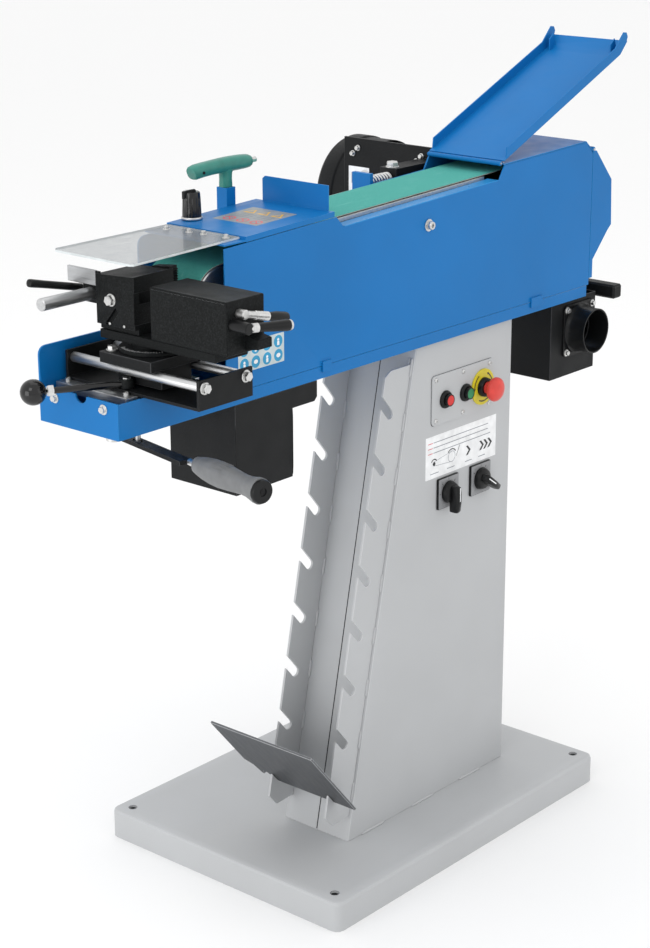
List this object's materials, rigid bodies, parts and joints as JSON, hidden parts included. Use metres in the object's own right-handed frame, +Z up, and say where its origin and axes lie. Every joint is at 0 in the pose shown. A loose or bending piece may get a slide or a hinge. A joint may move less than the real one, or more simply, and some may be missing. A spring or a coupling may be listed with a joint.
{
  "type": "belt grinder",
  "caption": "Floor-standing belt grinder with a swivelling vise and feed lever for notching tube, a flip-up cover over the flat belt run and an extraction outlet.",
  "frame": {"origin": "middle of the base plate's underside, on the floor", "axes": "+X towards the drive wheel at the rear, -Y towards the operator's side, +Z up"},
  "size_m": [1.2763, 0.6456, 1.2772],
  "materials": {
    "grey_paint": "powder coat, light grey",
    "blue_paint": "powder coat, blue",
    "black_paint": "textured black powder coat",
    "dark_steel": "dark ground steel",
    "bright_steel": "machined",
    "green_abrasive": "cloth-backed abrasive",
    "black_plastic": "black",
    "grey_plastic": "grey",
    "green_plastic": "green",
    "red_plastic": "red",
    "go_green": "green",
    "yellow_plastic": "yellow",
    "clear_sheet": "clear polycarbonate"
  },
  "bodies": {
    "machine": {"base_plate": "grey_paint", "column_shell": "grey_paint", "rail_near": "grey_paint", "rail_far": "grey_paint", "control_plate": "grey_paint", "head_frame": "blue_paint", "front_top_cover": "blue_paint", "rear_top_cover": "blue_paint", "front_dust_box": "black_paint", "rear_dust_box": "black_paint", "roller_axle": "bright_steel", "rocker_pin": "bright_steel", "tension_spring": "bright_steel", "belt_platen": "bright_steel", "lever_pivot": "bright_steel", "abrasive_belt": "green_abrasive", "start_bezel": "black_plastic", "stop_bezel": "black_plastic", "cable_gland": "black_plastic", "dust_nozzle": "black_plastic", "switch_plate_1": "grey_plastic", "switch_plate_2": "grey_plastic", "e_stop_collar": "yellow_plastic", "spark_shield": "clear_sheet"},
    "side_cover": {"side_cover": "blue_paint", "cover_screw": "bright_steel"},
    "rear_cover": {"rear_cover": "blue_paint"},
    "top_flap": {"top_flap": "blue_paint"},
    "rocker": {"motor_plate": "black_paint", "motor_body": "black_paint", "fan_cover": "black_paint", "release_bar": "black_paint"},
    "drive": {"drive_wheel": "dark_steel", "motor_shaft": "bright_steel"},
    "roller": {"contact_roller": "dark_steel"},
    "tracking_knob": {"tracking_knob": "black_plastic"},
    "hex_key": {"hex_key_handle": "green_plastic", "hex_key_blade": "bright_steel"},
    "feed_lever": {"feed_lever_arm": "dark_steel", "feed_lever_grip": "grey_plastic"},
    "carriage": {"feed_slide_plate": "bright_steel", "cross_channel": "black_paint", "guide_rod_front": "bright_steel", "guide_rod_rear": "bright_steel"},
    "cross_clamp": {"cross_clamp_lever": "black_plastic"},
    "cross_slide": {"slide_block": "black_paint"},
    "vise": {"vise_base": "black_paint", "fixed_jaw": "black_paint"},
    "moving_jaw": {"moving_jaw": "black_paint"},
    "jaw_lever": {"jaw_lever": "black_plastic"},
    "lock_lever": {"lock_lever": "black_plastic"},
    "stop_rod": {"stop_rod": "bright_steel"},
    "stop_lever": {"stop_lever": "black_plastic"},
    "support_plate": {"support_plate": "dark_steel"},
    "start_button": {"start_button": "go_green"},
    "stop_button": {"stop_button": "red_plastic"},
    "e_stop": {"e_stop_button": "red_plastic"},
    "switch_1": {"switch_knob_1": "black_plastic"},
    "switch_2": {"switch_knob_2": "black_plastic"}
  },
  "joints": [
    {"name": "side_cover_hinge", "type": "hinge", "parent": "machine", "child": "side_cover", "pos_m": [0, -0.141, 0.852], "axis": [1, 0, 0], "range_deg": [0, 88]},
    {"name": "rear_cover_hinge", "type": "hinge", "parent": "machine", "child": "rear_cover", "pos_m": [0.4475, -0.062, 1.091], "axis": [0, -1, 0], "range_deg": [0, 95]},
    {"name": "top_flap_hinge", "type": "hinge", "parent": "machine", "child": "top_flap", "pos_m": [0.187, -0.062, 1.1015], "axis": [0, 1, 0], "range_deg": [-158, 0]},
    {"name": "motor_rocker", "type": "hinge", "parent": "machine", "child": "rocker", "pos_m": [0.332, 0.02, 0.848], "axis": [0, 1, 0], "range_deg": [-3, 0], "stiffness_Nm_per_rad": 4000, "springref_deg": 1.15, "deforming": ["tension_spring"]},
    {"name": "drive_spin", "type": "hinge", "parent": "rocker", "child": "drive", "pos_m": [0.332, -0.062, 0.9886], "axis": [0, 1, 0], "continuous": true},
    {"name": "roller_spin", "type": "hinge", "parent": "machine", "child": "roller", "pos_m": [-0.438, -0.062, 0.992], "axis": [0, 1, 0], "continuous": true},
    {"name": "tracking_turn", "type": "hinge", "parent": "machine", "child": "tracking_knob", "pos_m": [-0.375, -0.001, 1.0807], "axis": [0, 0, 1], "range_deg": [-180, 180]},
    {"name": "hex_key_lift", "type": "slide", "parent": "machine", "child": "hex_key", "axis": [0, 0, 1], "range_m": [0, 0.06]},
    {"name": "carriage_feed", "type": "slide", "parent": "machine", "child": "carriage", "axis": [-1, 0, 0], "range_m": [-0.015, 0.016]},
    {"name": "feed_lever_turn", "type": "hinge", "parent": "machine", "child": "feed_lever", "pos_m": [-0.5424, 0, 0.8], "axis": [0, 0, 1], "range_deg": [-14.1, 13.3]},
    {"name": "cross_clamp_turn", "type": "hinge", "parent": "carriage", "child": "cross_clamp", "pos_m": [-0.6114, -0.104, 0.905], "axis": [0, 0, 1], "range_deg": [-20, 12]},
    {"name": "cross_slide_travel", "type": "slide", "parent": "carriage", "child": "cross_slide", "axis": [0, 1, 0], "range_m": [-0.06, 0.055]},
    {"name": "vise_swivel", "type": "hinge", "parent": "cross_slide", "child": "vise", "pos_m": [-0.5725, -0.118, 0.9483], "axis": [0, 0, 1], "range_deg": [-20, 40]},
    {"name": "moving_jaw_travel", "type": "slide", "parent": "vise", "child": "moving_jaw", "axis": [0, 1, 0], "range_m": [-0.05, 0.026]},
    {"name": "jaw_lever_turn", "type": "hinge", "parent": "moving_jaw", "child": "jaw_lever", "pos_m": [-0.596, -0.2825, 1.012], "axis": [0, -1, 0], "range_deg": [0, 60]},
    {"name": "lock_lever_turn", "type": "hinge", "parent": "moving_jaw", "child": "lock_lever", "pos_m": [-0.585, -0.2873, 1.0262], "axis": [0, -1, 0], "range_deg": [0, 60]},
    {"name": "stop_rod_travel", "type": "slide", "parent": "vise", "child": "stop_rod", "axis": [1, 0, 0], "range_m": [-0.06, 0.05]},
    {"name": "stop_lever_turn", "type": "hinge", "parent": "vise", "child": "stop_lever", "pos_m": [-0.585, -0.0142, 1.017], "axis": [0, 1, 0], "range_deg": [-50, 0]},
    {"name": "support_lift", "type": "slide", "parent": "machine", "child": "support_plate", "axis": [-0.6428, 0, 0.766], "range_m": [0, 0.06]},
    {"name": "start_press", "type": "slide", "parent": "machine", "child": "start_button", "axis": [0, 1, 0], "range_m": [0, 0.004], "stiffness_N_per_m": 700, "springref_m": -0.004},
    {"name": "stop_press", "type": "slide", "parent": "machine", "child": "stop_button", "axis": [0, 1, 0], "range_m": [0, 0.004], "stiffness_N_per_m": 700, "springref_m": -0.004},
    {"name": "e_stop_press", "type": "slide", "parent": "machine", "child": "e_stop", "axis": [0, 1, 0], "range_m": [0, 0.006], "stiffness_N_per_m": 900, "springref_m": -0.004},
    {"name": "switch_1_turn", "type": "hinge", "parent": "machine", "child": "switch_1", "pos_m": [0.064, -0.1356, 0.585], "axis": [0, 1, 0], "range_deg": [0, 90]},
    {"name": "switch_2_turn", "type": "hinge", "parent": "machine", "child": "switch_2", "pos_m": [0.1505, -0.1356, 0.586], "axis": [0, 1, 0], "range_deg": [-35, 55]}
  ],
  "couplings": [
    {"joint": "roller_spin", "follows": "drive_spin", "ratio": 2.1186},
    {"joint": "feed_lever_turn", "follows": "carriage_feed", "rad_per_m": -15.3}
  ]
}
